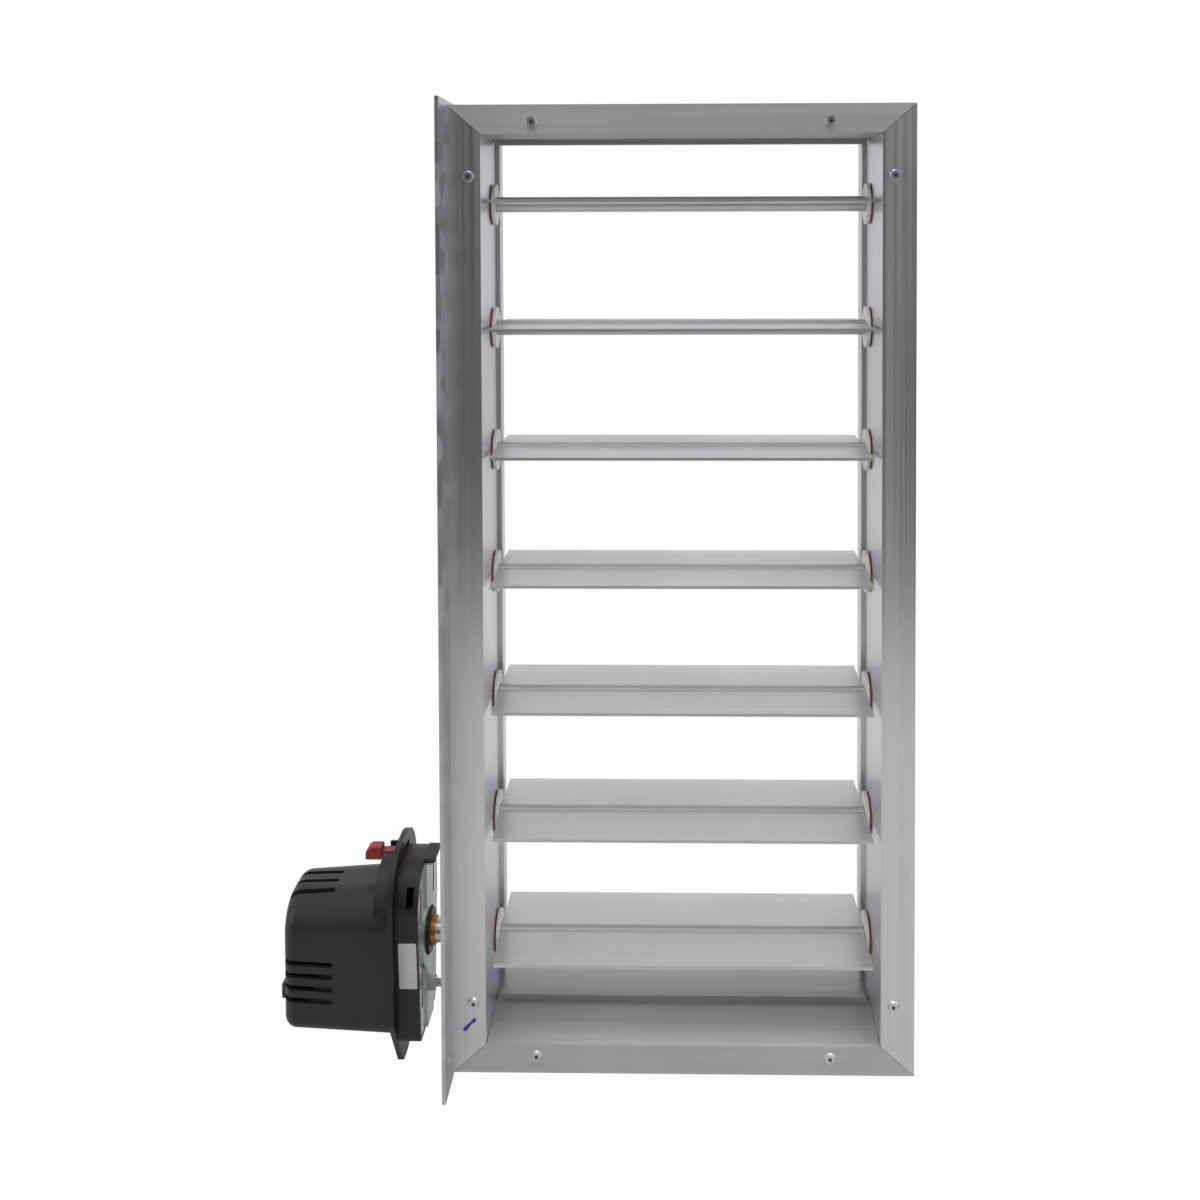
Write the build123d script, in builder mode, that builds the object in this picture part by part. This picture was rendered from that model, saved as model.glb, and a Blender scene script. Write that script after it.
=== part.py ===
from build123d import *
import math
import os

# Rectangular zone damper: a mitred aluminium channel frame with seven parallel blades on
# nylon bearings, a linkage hidden in the drive-side stile, a mounting plate that closes that
# stile, and a spring-clutch actuator on the plate that turns the lowest blade.
# X runs from the plate towards the far stile, Y away from the viewer, Z up.
# The origin is the middle of the plate's face on the frame's side.

# Frame: outer sizes, visible face widths and the extruded wall
frame_width = 242.0
frame_height = 508.0
frame_depth = 82.0
stile_face = 17.5
rail_face = 15.1
wall = 1.8
mitre_gap = 0.15
stile_stop_height = 2.4
rail_stop_height = 2.8
stop_width = 5.4
stile_stop_at = 15.0
top_stop_at = 3.8
bottom_stop_at = -1.2

# Corner gussets and the blind rivets that hold them
gusset_leg = 52.0
gusset_thickness = 1.6
gusset_clearance = 0.2
rail_rivet_inset = 9.0
rail_rivet_from_end = 44.0
stile_rivet_inset = 11.0
stile_rivet_from_end = 37.0
rivet_diameter = 3.2
rivet_hole = 3.4
rivet_head_diameter = 6.2
rivet_head_height = 1.2
rivet_head_draft = 28.0
rivet_dimple_diameter = 2.0
rivet_tail_diameter = 4.4
rivet_tail_height = 1.5

# Mounting plate, its duct screw holes and the angles that tie it to the stile
plate_thickness = 2.0
plate_depth = 123.0
plate_height = 513.0
duct_hole_diameter = 5.0
duct_hole_depth_spacing = 102.0
duct_hole_height_spacing = 480.0
plate_shaft_hole = 17.0
angle_leg = 15.0
angle_thickness = 1.5
angle_length = 30.0
angle_rivet_inset = 9.0

# Blades
blade_count = 7
blade_end_room = 2.5
blade_rise = 0.6
blade_lap = 2.9
blade_thickness = 1.6
wing_lift = 1.3
boss_diameter = 8.4
boss_blend = 0.7

# Shafts, bearings and the washers between a bearing's flange and the stile
shaft_diameter = 6.0
seat_clearance = 0.03
running_clearance = 0.05
bearing_flange_diameter = 22.5
bearing_flange_thickness = 1.6
bearing_barrel_diameter = 11.0
bearing_barrel_proud = 1.0
washer_diameter = 20.0
washer_thickness = 1.0
end_gap = 0.4
shaft_head_diameter = 9.5
shaft_head_thickness = 1.5

# Cranks and the tie bar
crank_radius = 19.0
crank_rest_angle = 133.75
crank_hub_diameter = 14.0
crank_tip_diameter = 9.0
crank_arm_thickness = 2.5
crank_stud_diameter = 4.0
crank_stud_head_diameter = 7.0
crank_stud_head_thickness = 1.9
set_screw_hole = 3.0
bar_width = 10.0
bar_thickness = 2.8
bar_inset = 5.6
bar_hole_clearance = 0.1
crank_gap = 0.6
bar_head_gap = 0.4

# Drive shaft outside the stile
drive_diameter = 12.7
drive_end = -46.0

# Actuator housing, measured from the drive shaft's axis: a shell that narrows towards its end
housing_end = -95.6
flange_front = -36.9
housing_half_depth = 29.0
housing_top = 30.9
housing_end_half_depth = 24.5
housing_end_top = 28.8
housing_bottom = -43.2
housing_top_radius = 20.0
housing_bottom_radius = 8.0
housing_end_radius = 7.0
housing_wall = 2.2
vent_width = 2.8
side_vents = (-4.5, -11.2, -18.0, -24.6)
side_vent_end = -67.5
roof_vents = (-12.0, -3.5, 5.0)
roof_vent_end = -69.5
vent_depth = 10.0
collar_front = -44.6
collar_half_depth = 31.0
collar_top = 45.4
collar_foot = 24.2
collar_radius = 27.0
board_post_diameter = 5.0

# Actuator base: a shield-shaped flange and an arched drum that faces the plate
flange_thickness = 3.0
flange_bore = 30.0
flange_half_depth = 31.0
flange_top = 52.3
flange_top_radius = 26.0
flange_waist = -36.0
flange_waist_half_depth = 29.6
flange_tip = -70.5
flange_tip_half_depth = 7.0
flange_hip = -58.0
flange_hip_half_depth = 15.0
flange_corner_radius = 6.0
drum_back = -21.5
drum_half_depth = 27.0
drum_top = 44.2
drum_shoulder = 10.0
drum_bottom = -51.4
drum_bottom_half_depth = 20.5
drum_top_radius = 24.0
drum_bottom_radius = 4.0
drum_wall = 2.5
latch_window_width = 4.0
latch_window_height = 9.5
latch_window_at = (-26.0, 30.9)

# Steel behind the drum, the hub and what ties the actuator to the plate
back_plate_thickness = 1.5
back_plate_clearance = 0.3
back_plate_bore = 25.5
back_slot_width = 3.5
back_slot_length = 22.0
back_slots = ((-17.5, 22.0), (17.5, 22.0), (-15.0, -24.0), (15.0, -24.0))
strap_thickness = 1.5
strap_width = 16.0
strap_top = 42.5
strap_bottom = -50.0
strap_ring_diameter = 38.0
strap_bore = 25.0
strap_tab_reach = 5.0
bumper_height = 2.5
bumper_margin = 1.0
stud_drop = 30.0
stud_diameter = 4.2
stud_hole = 4.6
stud_nut_flats = 7.0
stud_nut_height = 3.2
stud_end = -28.0
hub_diameter = 22.6
hub_shoulder_diameter = 19.0
hub_front = -32.0
hub_step = -25.0
hub_back = -18.6
bushing_diameter = 15.2
bushing_back = -16.2

# Inside the housing
coupling_diameter = 19.0
coupling_front = -60.0
motor_diameter = 34.0
motor_boss_diameter = 12.0
motor_body_back = -66.0
motor_gap = 0.3
board_height = -36.0
board_thickness = 1.6
board_half_depth = 18.0
board_front = -86.0
board_back = -44.0
terminal_size = (10.0, 24.0, 9.0)
terminal_at = -50.0

# Release lever and the clip on the housing's end
lever_width = 8.0
lever_front = -55.2
lever_gap = 1.6
lever_foot = 41.6
lever_top = 48.3
lever_radius = 4.0
lever_edge = 1.0
lever_travel = 8.0
stem_width = 6.0
stem_foot = 42.4
stem_height = 3.4
stem_end_gap = 0.5
lever_slot_clearance = 0.5
clip_width = 6.0
clip_height = 8.0
clip_reach = 2.5
clip_at = (-15.0, -24.0)

# Worked-out places
mid_x = frame_width / 2
blade_pitch = (frame_height - 2 * rail_face - 2 * blade_end_room) / blade_count
blade_chord = blade_pitch + blade_lap
blade_heights = [((blade_count + 1) / 2 - i) * blade_pitch + blade_rise for i in range(1, blade_count + 1)]
drive_height = blade_heights[-1]
blade_start = stile_face + washer_thickness + bearing_flange_thickness + end_gap
blade_length = frame_width - 2 * blade_start
web_outside = stile_face - wall
barrel_end = web_outside - bearing_barrel_proud
bar_back = bar_inset + bar_thickness
crank_front = bar_back + crank_gap
crank_back = barrel_end - end_gap
shaft_end = frame_width - barrel_end + end_gap
pin_y = crank_radius * math.cos(math.radians(crank_rest_angle))
pin_z = crank_radius * math.sin(math.radians(crank_rest_angle))
flange_back = flange_front + flange_thickness
back_plate_front = drum_back - back_plate_thickness
strap_back = drum_back + strap_thickness
stem_back = flange_back - stem_end_gap

os.makedirs("parts", exist_ok=True)


def write(piece, name):
    """Labels a finished piece and writes it."""
    piece.part.label = name
    export_step(piece.part, f"parts/{name}.step")


def across(x, height=0.0):
    """A plane across the shafts at x, looking along +X, with its origin at the given height."""
    return Plane((x, 0, height), x_dir=(0, 1, 0), z_dir=(1, 0, 0))


def outward(x, height=0.0):
    """The same plane facing away from the frame, along -X."""
    return Plane((x, 0, height), x_dir=(0, -1, 0), z_dir=(-1, 0, 0))


def loaf(half_depth, top, bottom, top_radius, bottom_radius):
    """A box outline with generous top corners and small bottom ones, for the open sketch."""
    with Locations((0, (top + bottom) / 2)):
        Rectangle(2 * half_depth, top - bottom)
    fillet(vertices().group_by(Axis.Y)[-1], top_radius)
    fillet(vertices().group_by(Axis.Y)[0], bottom_radius)


# Frame members


def frame_member(name, seat, length, face, run_in, stop_at, stop_height, rivet_run, rivet_inset, bearing_runs=()):
    """A mitred channel. seat is at the middle of its outer edge, x along it, z to the airway."""
    section_plane = Plane(seat.origin, x_dir=seat.y_dir, z_dir=seat.x_dir)
    side_plane = Plane(seat.origin, x_dir=seat.x_dir, z_dir=seat.y_dir * -1)
    edge_plane = Plane(seat.origin, x_dir=seat.x_dir, z_dir=seat.z_dir)
    reach = face + stop_height
    long_half = length / 2 - mitre_gap
    short_half = long_half - reach * run_in
    with BuildPart() as member:
        with BuildSketch(section_plane):
            with Locations((0, face / 2)):
                Rectangle(frame_depth, face)
            with Locations((0, (face - wall) / 2)):
                Rectangle(frame_depth - 2 * wall, face - wall, mode=Mode.SUBTRACT)
            with Locations((stop_at, face + stop_height / 2)):
                Rectangle(stop_width, stop_height)
        extrude(amount=length / 2, both=True)
        with BuildSketch(side_plane):
            with BuildLine():
                Polyline((-long_half, 0), (long_half, 0), (short_half, reach), (-short_half, reach), close=True)
            make_face()
        extrude(amount=frame_depth, both=True, mode=Mode.INTERSECT)
        with BuildSketch(side_plane):
            with Locations((-rivet_run, rivet_inset), (rivet_run, rivet_inset)):
                Circle(rivet_hole / 2)
        extrude(amount=frame_depth, both=True, mode=Mode.SUBTRACT)
        if bearing_runs:
            with BuildSketch(edge_plane):
                with Locations(*[(run, 0) for run in bearing_runs]):
                    Circle(bearing_barrel_diameter / 2 + running_clearance)
            extrude(amount=reach, mode=Mode.SUBTRACT)
    write(member, name)


rail_run = stile_face / rail_face
stile_run = rail_face / stile_face
rail_rivet_run = mid_x - rail_rivet_from_end
stile_rivet_run = frame_height / 2 - stile_rivet_from_end
top_seat = Plane((mid_x, 0, frame_height / 2), x_dir=(-1, 0, 0), z_dir=(0, 0, -1))
bottom_seat = Plane((mid_x, 0, -frame_height / 2), x_dir=(1, 0, 0), z_dir=(0, 0, 1))
left_seat = Plane((0, 0, 0), x_dir=(0, 0, -1), z_dir=(1, 0, 0))
right_seat = Plane((frame_width, 0, 0), x_dir=(0, 0, 1), z_dir=(-1, 0, 0))
frame_member("frame_top_rail", top_seat, frame_width, rail_face, rail_run, top_stop_at,
             rail_stop_height, rail_rivet_run, rail_rivet_inset)
frame_member("frame_bottom_rail", bottom_seat, frame_width, rail_face, rail_run, bottom_stop_at,
             rail_stop_height, rail_rivet_run, rail_rivet_inset)
frame_member("frame_left_stile", left_seat, frame_height, stile_face, stile_run, stile_stop_at,
             stile_stop_height, stile_rivet_run, stile_rivet_inset, [-height for height in blade_heights])
frame_member("frame_right_stile", right_seat, frame_height, stile_face, stile_run, stile_stop_at,
             stile_stop_height, stile_rivet_run, stile_rivet_inset, blade_heights)


# Corner gussets and their rivets, front and rear

rivet_places = []
for side_x in (-1, 1):
    for side_z in (-1, 1):
        rivet_places.append((mid_x + side_x * rail_rivet_run, side_z * (frame_height / 2 - rail_rivet_inset)))
        rivet_places.append((mid_x + side_x * (mid_x - stile_rivet_inset), side_z * stile_rivet_run))


def corner_gussets(name, side):
    """Four L-shaped plates behind the front (side -1) or rear (side 1) flanges."""
    inner_face = Plane((0, side * (frame_depth / 2 - wall), 0), x_dir=(1, 0, 0), z_dir=(0, -side, 0))
    stile_leg = stile_face - wall - 2 * gusset_clearance
    rail_leg = rail_face - wall - 2 * gusset_clearance
    leg = gusset_leg - gusset_clearance
    up = inner_face.y_dir.Z
    with BuildPart() as gussets:
        with BuildSketch(inner_face):
            for side_x in (-1, 1):
                for side_z in (-1, 1):
                    corner_x = mid_x + side_x * (mid_x - gusset_clearance)
                    corner_z = side_z * (frame_height / 2 - gusset_clearance) * up
                    with Locations((corner_x - side_x * stile_leg / 2, corner_z - side_z * up * leg / 2)):
                        Rectangle(stile_leg, leg)
                    with Locations((corner_x - side_x * leg / 2, corner_z - side_z * up * rail_leg / 2)):
                        Rectangle(leg, rail_leg)
            with Locations(*rivet_places):
                Circle(rivet_hole / 2, mode=Mode.SUBTRACT)
        extrude(amount=gusset_thickness)
    write(gussets, name)


def rivets(name, face, places, grip):
    """Blind rivets in a face: domed head with a mandrel dimple, shank through grip, upset tail."""
    with BuildPart() as row:
        with BuildSketch(face):
            with Locations(*places):
                Circle(rivet_head_diameter / 2)
        extrude(amount=rivet_head_height, taper=rivet_head_draft)
        with BuildSketch(face):
            with Locations(*places):
                Circle(rivet_diameter / 2)
        extrude(amount=-grip)
        with BuildSketch(face.offset(-grip)):
            with Locations(*places):
                Circle(rivet_tail_diameter / 2)
        extrude(amount=-rivet_tail_height)
        with BuildSketch(face.offset(rivet_head_height / 2)):
            with Locations(*places):
                Circle(rivet_dimple_diameter / 2)
        extrude(amount=rivet_head_height, mode=Mode.SUBTRACT)
    write(row, name)


corner_gussets("front_gussets", -1)
corner_gussets("rear_gussets", 1)
front_face = Plane((0, -frame_depth / 2, 0), x_dir=(1, 0, 0), z_dir=(0, -1, 0))
rear_face = Plane((0, frame_depth / 2, 0), x_dir=(1, 0, 0), z_dir=(0, 1, 0))
rivets("front_rivets", front_face, rivet_places, wall + gusset_thickness)
rivets("rear_rivets", rear_face, rivet_places, wall + gusset_thickness)


# Mounting plate, its angles and their rivets

angle_height = (blade_heights[0] + blade_heights[1]) / 2
angle_heights = (angle_height, -angle_height)
channel_half = frame_depth / 2 - wall
angle_rivet_places = []
for side_y in (-1, 1):
    for height in angle_heights:
        angle_rivet_places.append((side_y * (channel_half - angle_rivet_inset), height))

with BuildPart() as mounting_plate:
    with BuildSketch(outward(0)):
        Rectangle(plate_depth, plate_height)
        with GridLocations(duct_hole_depth_spacing, duct_hole_height_spacing, 2, 2):
            Circle(duct_hole_diameter / 2, mode=Mode.SUBTRACT)
        with Locations((0, drive_height)):
            Circle(plate_shaft_hole / 2, mode=Mode.SUBTRACT)
        with Locations((0, drive_height - stud_drop)):
            Circle(stud_hole / 2, mode=Mode.SUBTRACT)
        with Locations(*angle_rivet_places):
            Circle(rivet_hole / 2, mode=Mode.SUBTRACT)
    extrude(amount=plate_thickness)
write(mounting_plate, "mounting_plate")

with BuildPart() as plate_angles:
    for height in angle_heights:
        with BuildSketch(Plane.XY.offset(height - angle_length / 2)):
            for side_y in (-1, 1):
                with Locations((angle_thickness / 2, side_y * (channel_half - angle_leg / 2))):
                    Rectangle(angle_thickness, angle_leg)
                with Locations((angle_leg / 2, side_y * (channel_half - angle_thickness / 2))):
                    Rectangle(angle_leg, angle_thickness)
        extrude(amount=angle_length)
    with BuildSketch(across(0)):
        with Locations(*angle_rivet_places):
            Circle(rivet_hole / 2)
    extrude(amount=angle_thickness, mode=Mode.SUBTRACT)
write(plate_angles, "plate_angles")

rivets("plate_rivets", outward(-plate_thickness), angle_rivet_places, plate_thickness + angle_thickness)


# Bearings and washers in the two stiles

blade_axes = [(0, height) for height in blade_heights]


def bearing_row(name, washer_name, wall_face):
    """Flanged nylon bearings, and the fibre washers between their flanges and the stile."""
    barrel = washer_thickness + wall + bearing_barrel_proud
    with BuildPart() as row:
        with BuildSketch(wall_face.offset(washer_thickness)):
            with Locations(*blade_axes):
                Circle(bearing_flange_diameter / 2)
        extrude(amount=bearing_flange_thickness)
        with BuildSketch(wall_face.offset(washer_thickness)):
            with Locations(*blade_axes):
                Circle(bearing_barrel_diameter / 2)
        extrude(amount=-barrel)
        with BuildSketch(wall_face.offset(washer_thickness - barrel)):
            with Locations(*blade_axes):
                Circle(shaft_diameter / 2 + running_clearance)
        extrude(amount=barrel + bearing_flange_thickness, mode=Mode.SUBTRACT)
    write(row, name)
    with BuildPart() as washers:
        with BuildSketch(wall_face):
            with Locations(*blade_axes):
                Circle(washer_diameter / 2)
                Circle(bearing_barrel_diameter / 2 + running_clearance, mode=Mode.SUBTRACT)
        extrude(amount=washer_thickness)
    write(washers, washer_name)


bearing_row("left_bearings", "left_washers", across(stile_face))
bearing_row("right_bearings", "right_washers", outward(frame_width - stile_face))


# Blades, shafts and cranks

for number, height in enumerate(blade_heights, start=1):
    with BuildPart() as blade:
        with BuildSketch(across(blade_start, height)):
            with Locations((0, wing_lift)):
                Rectangle(blade_chord, blade_thickness)
            Circle(boss_diameter / 2)
            fillet(vertices().group_by(SortBy.DISTANCE)[0], boss_blend)
            Circle(shaft_diameter / 2 + seat_clearance, mode=Mode.SUBTRACT)
        extrude(amount=blade_length)
    write(blade, f"blade_{number}")

    with BuildPart() as crank:
        with BuildSketch(across(crank_front, height)):
            Circle(crank_hub_diameter / 2)
            with Locations((pin_y, pin_z)):
                Circle(crank_tip_diameter / 2)
            make_hull()
        extrude(amount=crank_arm_thickness)
        with BuildSketch(across(crank_front, height)):
            Circle(crank_hub_diameter / 2)
        extrude(amount=crank_back - crank_front)
        with BuildSketch(across(crank_front, height)):
            Circle(shaft_diameter / 2 + seat_clearance)
        extrude(amount=crank_back - crank_front, mode=Mode.SUBTRACT)
        with BuildSketch(across(crank_front, height)):
            with Locations((pin_y, pin_z)):
                Circle(crank_stud_diameter / 2)
        extrude(amount=bar_inset - bar_head_gap - crank_front)
        with BuildSketch(across(bar_inset - bar_head_gap, height)):
            with Locations((pin_y, pin_z)):
                Circle(crank_stud_head_diameter / 2)
        extrude(amount=-crank_stud_head_thickness)
        screw_x = (crank_front + crank_arm_thickness + crank_back) / 2
        with BuildSketch(Plane((screw_x, 0, height), z_dir=(0, -pin_y, -pin_z))):
            Circle(set_screw_hole / 2)
        extrude(amount=crank_hub_diameter, mode=Mode.SUBTRACT)
    write(crank, f"crank_{number}")

    with BuildPart() as shaft:
        with BuildSketch(across(crank_front, height)):
            Circle(shaft_diameter / 2)
        extrude(amount=shaft_end - crank_front)
        with BuildSketch(across(shaft_end, height)):
            Circle(shaft_head_diameter / 2)
        extrude(amount=shaft_head_thickness)
        if number == blade_count:
            with BuildSketch(across(drive_end, height)):
                Circle(drive_diameter / 2)
            extrude(amount=crank_front - drive_end)
    write(shaft, "drive_shaft" if number == blade_count else f"blade_shaft_{number}")

with BuildPart() as linkage_bar:
    with BuildSketch(across(bar_inset)):
        with Locations((pin_y, blade_heights[0] + pin_z), (pin_y, drive_height + pin_z)):
            Circle(bar_width / 2)
        make_hull()
        with Locations(*[(pin_y, height + pin_z) for height in blade_heights]):
            Circle(crank_stud_diameter / 2 + bar_hole_clearance, mode=Mode.SUBTRACT)
    extrude(amount=bar_thickness)
write(linkage_bar, "linkage_bar")


# Actuator housing: a drafted shell, open towards its base, with a collar over its rim

vent_start = housing_end - vent_depth

with BuildPart() as housing_cavity:
    with BuildSketch(outward(flange_front, drive_height)):
        loaf(housing_half_depth - housing_wall, housing_top - housing_wall, housing_bottom + housing_wall,
             housing_top_radius - housing_wall, housing_bottom_radius - housing_wall)
    with BuildSketch(outward(housing_end + housing_wall, drive_height)):
        loaf(housing_end_half_depth - housing_wall, housing_end_top - housing_wall, housing_bottom + housing_wall,
             housing_top_radius - housing_wall, housing_bottom_radius - housing_wall)
    loft()
    fillet(housing_cavity.faces().sort_by(Axis.X)[0].edges(), housing_end_radius - housing_wall)

with BuildPart() as actuator_housing:
    with BuildSketch(outward(flange_front, drive_height)):
        loaf(housing_half_depth, housing_top, housing_bottom, housing_top_radius, housing_bottom_radius)
    with BuildSketch(outward(housing_end, drive_height)):
        loaf(housing_end_half_depth, housing_end_top, housing_bottom, housing_top_radius, housing_bottom_radius)
    loft()
    fillet(actuator_housing.faces().sort_by(Axis.X)[0].edges(), housing_end_radius)
    with BuildSketch(outward(flange_front, drive_height)):
        loaf(collar_half_depth, collar_top, housing_bottom, collar_radius, housing_bottom_radius)
        with Locations((0, (collar_foot + housing_bottom) / 2)):
            Rectangle(2 * collar_half_depth, collar_foot - housing_bottom, mode=Mode.SUBTRACT)
    extrude(amount=flange_front - collar_front)
    add(housing_cavity.part, mode=Mode.SUBTRACT)
    with BuildSketch(Plane.XY.offset(drive_height + stem_foot - lever_slot_clearance)):
        with Locations(((collar_front + flange_front) / 2, lever_travel / 2)):
            Rectangle(flange_front - collar_front, stem_width + lever_travel + 2 * lever_slot_clearance)
    extrude(amount=collar_top - stem_foot + 2 * lever_slot_clearance, mode=Mode.SUBTRACT)
    with BuildSketch(Plane.XZ.offset(housing_half_depth - vent_depth)):
        for drop in side_vents:
            with Locations(((vent_start + side_vent_end) / 2, drive_height + drop)):
                SlotOverall(side_vent_end - vent_start, vent_width)
    extrude(amount=2 * vent_depth, mode=Mode.SUBTRACT)
    with BuildSketch(Plane.XZ.offset(-housing_half_depth - vent_depth)):
        for drop in side_vents:
            with Locations(((vent_start + side_vent_end) / 2, drive_height + drop)):
                SlotOverall(side_vent_end - vent_start, vent_width)
    extrude(amount=2 * vent_depth, mode=Mode.SUBTRACT)
    with BuildSketch(Plane.XY.offset(drive_height + housing_top - vent_depth)):
        for place in roof_vents:
            with Locations(((vent_start + roof_vent_end) / 2, place)):
                SlotOverall(roof_vent_end - vent_start, vent_width)
    extrude(amount=2 * vent_depth, mode=Mode.SUBTRACT)
    with BuildSketch(Plane.XY.offset(drive_height + board_height)):
        with Locations(((board_front + board_back) / 2, 0)):
            with GridLocations((board_back - board_front) * 2 / 3, board_half_depth, 2, 2):
                Circle(board_post_diameter / 2)
    extrude(amount=housing_bottom - board_height + housing_wall / 2)
write(actuator_housing, "actuator_housing")


# Actuator base: a shield-shaped flange, and the drum behind it


def mirrored(side):
    """A closed outline from the corners on its +u side, listed from the top down."""
    Polygon(*side, *[(-u, v) for u, v in reversed(side)], align=None)


def shield():
    """The flange's outline, with an arched top and a blunt tip, for the open sketch."""
    mirrored([(flange_half_depth, flange_top), (flange_half_depth, 0), (flange_waist_half_depth, flange_waist),
              (flange_hip_half_depth, flange_hip), (flange_tip_half_depth, flange_tip)])
    fillet(vertices().group_by(Axis.Y)[-1], flange_top_radius)
    fillet(vertices().group_by(Axis.Y)[0] + vertices().group_by(Axis.Y)[1], flange_corner_radius)


def drum_outline(inset):
    """The drum's arched outline, moved inwards by a wall, for the open sketch."""
    mirrored([(drum_half_depth - inset, drum_top - inset), (drum_half_depth - inset, drum_shoulder),
              (drum_bottom_half_depth - inset, drum_bottom + inset)])
    fillet(vertices().group_by(Axis.Y)[-1], drum_top_radius - inset)
    fillet(vertices().group_by(Axis.Y)[0], drum_bottom_radius - inset)


with BuildPart() as actuator_base:
    with BuildSketch(across(flange_front, drive_height)):
        shield()
    extrude(amount=flange_thickness)
    with BuildSketch(across(flange_back, drive_height)):
        drum_outline(0)
    extrude(amount=drum_back - flange_back)
    with BuildSketch(across(flange_back, drive_height)):
        drum_outline(drum_wall)
    extrude(amount=drum_back - flange_back, mode=Mode.SUBTRACT)
    with BuildSketch(across(flange_front, drive_height)):
        Circle(flange_bore / 2)
        with Locations((lever_travel / 2, stem_foot + stem_height / 2)):
            Rectangle(stem_width + lever_travel + 2 * lever_slot_clearance, stem_height + 2 * lever_slot_clearance)
    extrude(amount=flange_thickness, mode=Mode.SUBTRACT)
    with BuildSketch(Plane.XZ.offset(drum_half_depth - 4 * drum_wall)):
        with Locations((latch_window_at[0], drive_height + latch_window_at[1])):
            Rectangle(latch_window_width, latch_window_height)
    extrude(amount=5 * drum_wall, mode=Mode.SUBTRACT)
write(actuator_base, "actuator_base")


# Galvanised back plate, strap, bumper and the stud that stops the actuator from turning

with BuildPart() as actuator_back_plate:
    with BuildSketch(across(back_plate_front, drive_height)):
        drum_outline(drum_wall + back_plate_clearance)
        Circle(back_plate_bore / 2, mode=Mode.SUBTRACT)
        with Locations(*back_slots):
            SlotOverall(back_slot_length, back_slot_width, rotation=90, mode=Mode.SUBTRACT)
        with Locations((0, -stud_drop)):
            Circle(stud_hole / 2, mode=Mode.SUBTRACT)
    extrude(amount=back_plate_thickness)
write(actuator_back_plate, "actuator_back_plate")

with BuildPart() as mounting_strap:
    with BuildSketch(across(drum_back, drive_height)):
        with Locations((0, (strap_top + strap_bottom) / 2)):
            Rectangle(strap_width, strap_top - strap_bottom)
        Circle(strap_ring_diameter / 2)
        Circle(strap_bore / 2, mode=Mode.SUBTRACT)
        with Locations((0, -stud_drop)):
            Circle(stud_hole / 2, mode=Mode.SUBTRACT)
    extrude(amount=strap_thickness)
    with BuildSketch(across(drum_back, drive_height)):
        with Locations((0, strap_top - strap_thickness / 2)):
            Rectangle(strap_width, strap_thickness)
    extrude(amount=strap_tab_reach)
write(mounting_strap, "mounting_strap")

with BuildPart() as strap_bumper:
    with BuildSketch(across(drum_back, drive_height)):
        with Locations((0, strap_top + bumper_height / 2)):
            Rectangle(strap_width + 2 * bumper_margin, bumper_height)
    extrude(amount=strap_tab_reach + bumper_margin)
    fillet(strap_bumper.edges().filter_by(Axis.X).group_by(Axis.Z)[-1], bumper_height / 3)
write(strap_bumper, "strap_bumper")

stud_height = drive_height - stud_drop
with BuildPart() as anti_rotation_stud:
    with BuildSketch(across(stud_end, stud_height)):
        Circle(stud_diameter / 2)
    extrude(amount=stud_nut_height + angle_thickness - stud_end)
write(anti_rotation_stud, "anti_rotation_stud")

with BuildPart() as stud_nuts:
    for start in (0.0, -plate_thickness - stud_nut_height, strap_back):
        with BuildSketch(across(start, stud_height)):
            RegularPolygon(stud_nut_flats / 2, 6, major_radius=False)
            Circle(stud_diameter / 2 + seat_clearance, mode=Mode.SUBTRACT)
        extrude(amount=stud_nut_height)
write(stud_nuts, "stud_nuts")


# Hub, bushing and coupling on the drive shaft

with BuildPart() as hub_clamp:
    with BuildSketch(across(hub_front, drive_height)):
        Circle(hub_shoulder_diameter / 2)
    extrude(amount=hub_step - hub_front)
    with BuildSketch(across(hub_step, drive_height)):
        Circle(hub_diameter / 2)
    extrude(amount=hub_back - hub_step)
    with BuildSketch(across(hub_front, drive_height)):
        Circle(drive_diameter / 2 + seat_clearance)
    extrude(amount=hub_back - hub_front, mode=Mode.SUBTRACT)
write(hub_clamp, "hub_clamp")

with BuildPart() as hub_bushing:
    with BuildSketch(across(hub_back, drive_height)):
        Circle(bushing_diameter / 2)
        Circle(drive_diameter / 2 + seat_clearance, mode=Mode.SUBTRACT)
    extrude(amount=bushing_back - hub_back)
write(hub_bushing, "hub_bushing")

with BuildPart() as drive_coupling:
    with BuildSketch(across(coupling_front, drive_height)):
        Circle(coupling_diameter / 2)
    extrude(amount=hub_front - coupling_front)
    with BuildSketch(across(drive_end, drive_height)):
        Circle(drive_diameter / 2 + seat_clearance)
    extrude(amount=hub_front - drive_end, mode=Mode.SUBTRACT)
write(drive_coupling, "drive_coupling")


# Gear motor, circuit board and terminal block inside the housing

with BuildPart() as gear_motor:
    with BuildSketch(across(housing_end + housing_wall, drive_height)):
        Circle(motor_diameter / 2)
    extrude(amount=motor_body_back - housing_end - housing_wall)
    with BuildSketch(across(motor_body_back, drive_height)):
        Circle(motor_boss_diameter / 2)
    extrude(amount=coupling_front - motor_gap - motor_body_back)
write(gear_motor, "gear_motor")

with BuildPart() as circuit_board:
    with BuildSketch(Plane.XY.offset(drive_height + board_height)):
        with Locations(((board_front + board_back) / 2, 0)):
            Rectangle(board_back - board_front, 2 * board_half_depth)
    extrude(amount=board_thickness)
write(circuit_board, "circuit_board")

with BuildPart() as terminal_block:
    with BuildSketch(Plane.XY.offset(drive_height + board_height + board_thickness)):
        with Locations((terminal_at, 0)):
            Rectangle(terminal_size[0], terminal_size[1])
    extrude(amount=terminal_size[2])
write(terminal_block, "terminal_block")


# Release lever in the collar's notch and the flange's slot, and the clip on the housing's end

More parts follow.
